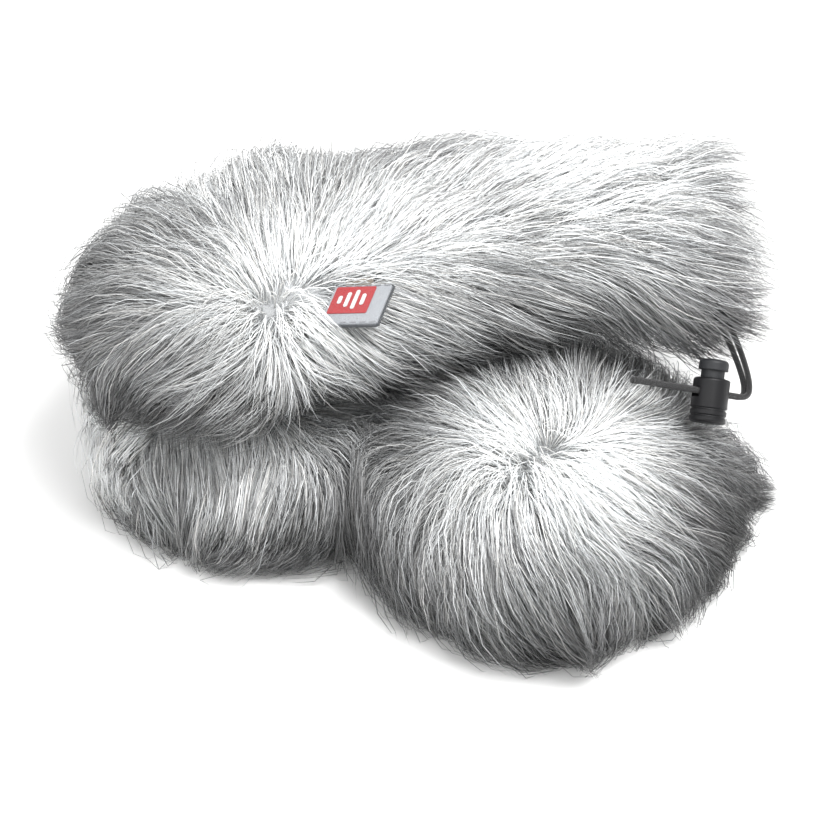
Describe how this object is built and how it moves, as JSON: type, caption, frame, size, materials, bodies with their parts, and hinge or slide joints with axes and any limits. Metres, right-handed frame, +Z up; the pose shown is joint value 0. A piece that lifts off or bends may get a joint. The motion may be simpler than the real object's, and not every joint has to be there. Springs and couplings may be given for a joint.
{
  "type": "furry windscreen",
  "caption": "Long-pile fur cover for a basket microphone windshield, folded in half, with a drawcord and cord lock at its mouth, a closing flap and a sewn-on badge.",
  "frame": {"origin": "middle of the folded cover's footprint, on the surface that it rests on", "axes": "+X from the fold to the open ends, -Y the front where the nose bulges out, +Z up"},
  "size_m": [0.3004, 0.2282, 0.1271],
  "materials": {
    "fur_grey": "long soft pile, darker tips",
    "knit_backing": "matt knit",
    "binding_tape": "matt woven",
    "hem_fabric": "matt woven",
    "elastic_cord": "braided, matt",
    "lock_plastic": "moulded, satin",
    "button_plastic": "moulded, satin",
    "spring_steel": "drawn wire",
    "badge_edging": "overlocked thread",
    "badge_silver": "woven, slight sheen",
    "badge_red": "woven satin",
    "badge_white": "embroidered",
    "badge_thread": "thread",
    "tab_fabric": "woven tape",
    "hook_and_loop": "fuzzy, matt",
    "label_satin": "satin ribbon"
  },
  "bodies": {
    "nose_half": {"nose_barrel_pile": "fur_grey", "nose_dome_pile": "fur_grey", "fold_pile": "fur_grey", "nose_barrel_backing": "knit_backing", "nose_dome_backing": "knit_backing", "fold_backing": "knit_backing", "nose_seam_binding": "binding_tape", "nose_seam_tape": "binding_tape"},
    "mouth_half": {"mouth_barrel_pile": "fur_grey", "mouth_barrel_backing": "knit_backing", "mouth_seam_tape": "binding_tape", "mouth_hem": "hem_fabric", "drawcord_loop": "elastic_cord", "drawcord_ends": "elastic_cord", "cord_end_knots": "elastic_cord", "badge_tab": "tab_fabric", "flap_loop_tape": "hook_and_loop", "care_label": "label_satin"},
    "badge": {"badge_edge": "badge_edging", "badge_patch": "badge_silver", "badge_panel": "badge_red", "badge_bars": "badge_white", "badge_stitches": "badge_thread"},
    "flap": {"closing_flap": "hem_fabric", "flap_hook_tape": "hook_and_loop"},
    "cord_lock": {"cord_lock_barrel": "lock_plastic", "cord_lock_spring": "spring_steel"},
    "lock_button": {"cord_lock_plunger": "button_plastic"}
  },
  "joints": [
    {"name": "fold_hinge", "type": "hinge", "parent": "nose_half", "child": "mouth_half", "pos_m": [-0.1, 0, 0.064], "axis": [0, -1, 0], "range_deg": [0, 180], "deforming": ["fold_pile", "fold_backing"]},
    {"name": "badge_flip", "type": "hinge", "parent": "mouth_half", "child": "badge", "pos_m": [-0.01871, -0.00475, 0.12227], "axis": [-0.9016, 0.3407, -0.2664], "range_deg": [0, 90]},
    {"name": "closing_flap_hinge", "type": "hinge", "parent": "mouth_half", "child": "flap", "pos_m": [0.062, 0.0948, 0.1015], "axis": [1, 0, 0], "range_deg": [0, 90]},
    {"name": "cord_lock_slide", "type": "slide", "parent": "mouth_half", "child": "cord_lock", "axis": [-0.9273, -0.1859, 0.3248], "range_m": [-0.004, 0.022]},
    {"name": "lock_button_press", "type": "slide", "parent": "cord_lock", "child": "lock_button", "axis": [-0.1319, -0.6497, -0.7487], "range_m": [0, 0.0034], "stiffness_N_per_m": 600, "springref_m": -0.002, "deforming": ["cord_lock_spring"]}
  ]
}
